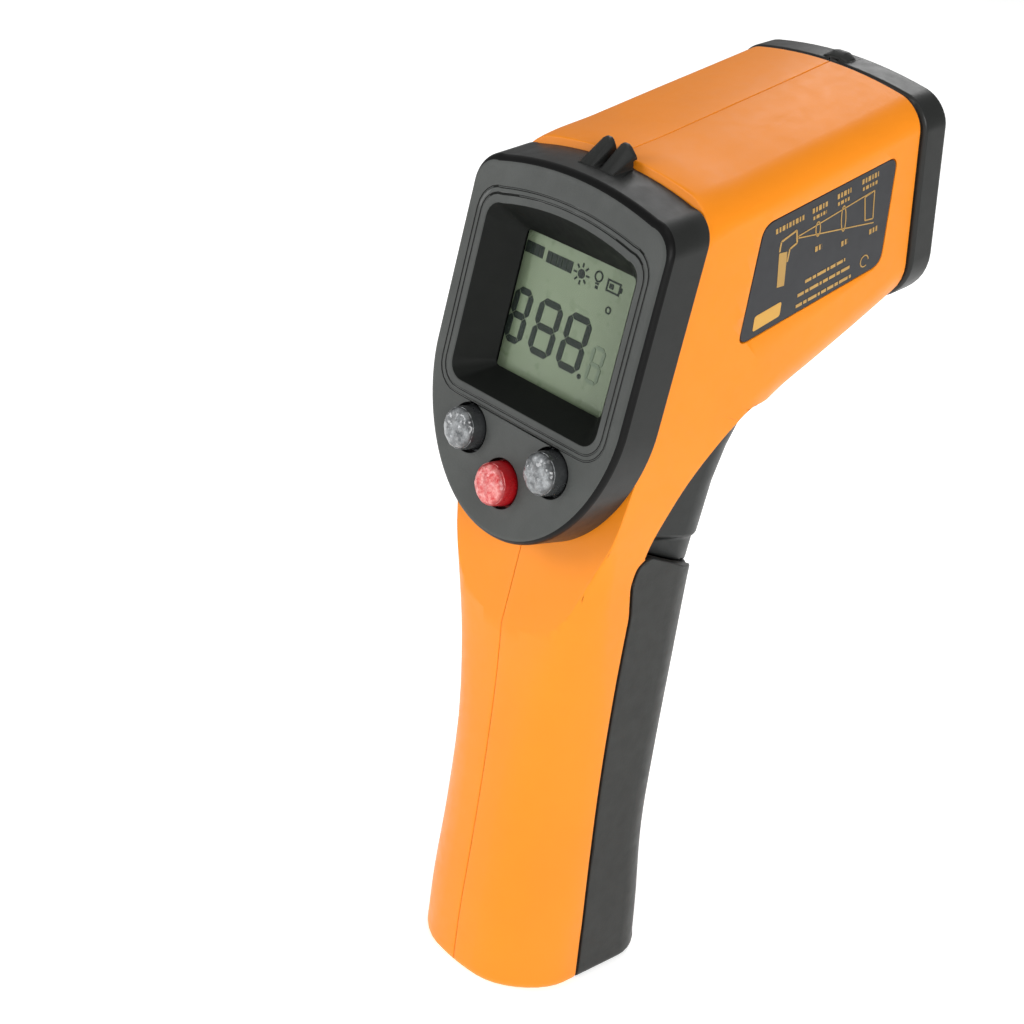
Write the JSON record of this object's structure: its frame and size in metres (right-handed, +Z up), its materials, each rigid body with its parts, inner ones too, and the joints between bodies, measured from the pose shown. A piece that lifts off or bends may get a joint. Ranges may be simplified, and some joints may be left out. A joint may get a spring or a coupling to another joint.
{
  "type": "infrared thermometer",
  "caption": "Pistol-grip infrared thermometer with a leaning display face, push keys, trigger, hinged battery door and a dark nose with lens and laser.",
  "frame": {"origin": "centre of the flat end of the grip, which the object stands on", "axes": "+Z up along the grip, +Y forward, the way the sensor looks, +X to the user's right; the barrel points 13 degrees up from +Y"},
  "size_m": [0.0442, 0.0792, 0.1613],
  "materials": {
    "orange_shell": "fine satin moulded",
    "black_shell": "fine spark texture",
    "trigger_black": "satin moulded",
    "clear_window": "polished",
    "lcd": "grey-green reflective display",
    "diffuser": "milky",
    "grey_key": "glossy mottled",
    "red_key": "glossy mottled",
    "key_mat": "matt silicone",
    "carbon": "dull",
    "circuit_board": "solder mask",
    "chip": "moulded epoxy",
    "steel": "plated",
    "brass": "turned",
    "infrared_lens": "milky moulded",
    "laser_glass": "polished",
    "label": "printed film",
    "cell_wrap": "shrink sleeve",
    "red_wire": "insulation",
    "black_wire": "insulation",
    "white_ribbon": "flat cable"
  },
  "bodies": {
    "root": {"battery_tray": "black_shell", "board_screw_1": "steel", "board_screw_2": "steel", "board_screw_3": "steel", "board_screw_4": "steel", "buzzer": "chip", "casing_screw_base": "steel", "casing_screw_grip": "steel", "casing_screw_middle": "steel", "casing_screw_nose": "steel", "casing_screw_top": "steel", "cell_1": "cell_wrap", "cell_2": "cell_wrap", "controller_chip": "chip", "display_frame": "black_shell", "display_window": "clear_window", "door_pin": "steel", "front_bezel": "black_shell", "infrared_lens": "infrared_lens", "keypad_mat": "key_mat", "laser_barrel": "brass", "laser_board": "circuit_board", "laser_holder": "black_shell", "laser_lead_black": "black_wire", "laser_lead_red": "red_wire", "laser_lens": "laser_glass", "lcd_panel": "lcd", "left_casing": "orange_shell", "left_label": "label", "lens_tube": "black_shell", "light_guide": "diffuser", "main_board": "circuit_board", "negative_contact": "steel", "negative_lead": "black_wire", "negative_spring": "steel", "positive_contact": "steel", "positive_lead": "red_wire", "rear_bezel": "black_shell", "right_casing": "orange_shell", "right_label": "label", "sensor_board": "circuit_board", "sensor_can": "steel", "sensor_ribbon": "white_ribbon", "series_contact": "steel", "series_spring": "steel", "trigger_pin": "steel", "trigger_spring": "steel", "trigger_switch": "chip", "zebra_strip": "carbon"},
    "trigger": {"trigger": "trigger_black"},
    "switch_plunger": {"switch_plunger": "diffuser"},
    "battery_door": {"battery_door": "black_shell"},
    "laser_key": {"laser_key": "red_key", "laser_key_pill": "carbon"},
    "backlight_key": {"backlight_key": "grey_key", "backlight_key_pill": "carbon"},
    "unit_key": {"unit_key": "grey_key", "unit_key_pill": "carbon"}
  },
  "joints": [
    {"name": "trigger_pull", "type": "hinge", "parent": "root", "child": "trigger", "pos_m": [0, 0.0175, 0.1135], "axis": [-1, 0, 0], "range_deg": [0, 4], "stiffness_Nm_per_rad": 0.2, "springref_deg": -5.73},
    {"name": "switch_press", "type": "slide", "parent": "root", "child": "switch_plunger", "axis": [0, -0.9857, 0.1685], "range_m": [0, 0.0013]},
    {"name": "laser_key_press", "type": "slide", "parent": "root", "child": "laser_key", "axis": [0, 0.9857, -0.1685], "range_m": [0, 0.001], "stiffness_N_per_m": 800, "springref_m": -0.0005},
    {"name": "backlight_key_press", "type": "slide", "parent": "root", "child": "backlight_key", "axis": [0, 0.9857, -0.1685], "range_m": [0, 0.001], "stiffness_N_per_m": 800, "springref_m": -0.0005},
    {"name": "unit_key_press", "type": "slide", "parent": "root", "child": "unit_key", "axis": [0, 0.9857, -0.1685], "range_m": [0, 0.001], "stiffness_N_per_m": 800, "springref_m": -0.0005},
    {"name": "door_open", "type": "hinge", "parent": "root", "child": "battery_door", "pos_m": [0, 0.0142, 0.0036], "axis": [-1, 0, 0], "range_deg": [0, 90]}
  ],
  "couplings": [
    {"joint": "switch_press", "follows": "trigger_pull", "m_per_rad": 0.0183}
  ]
}
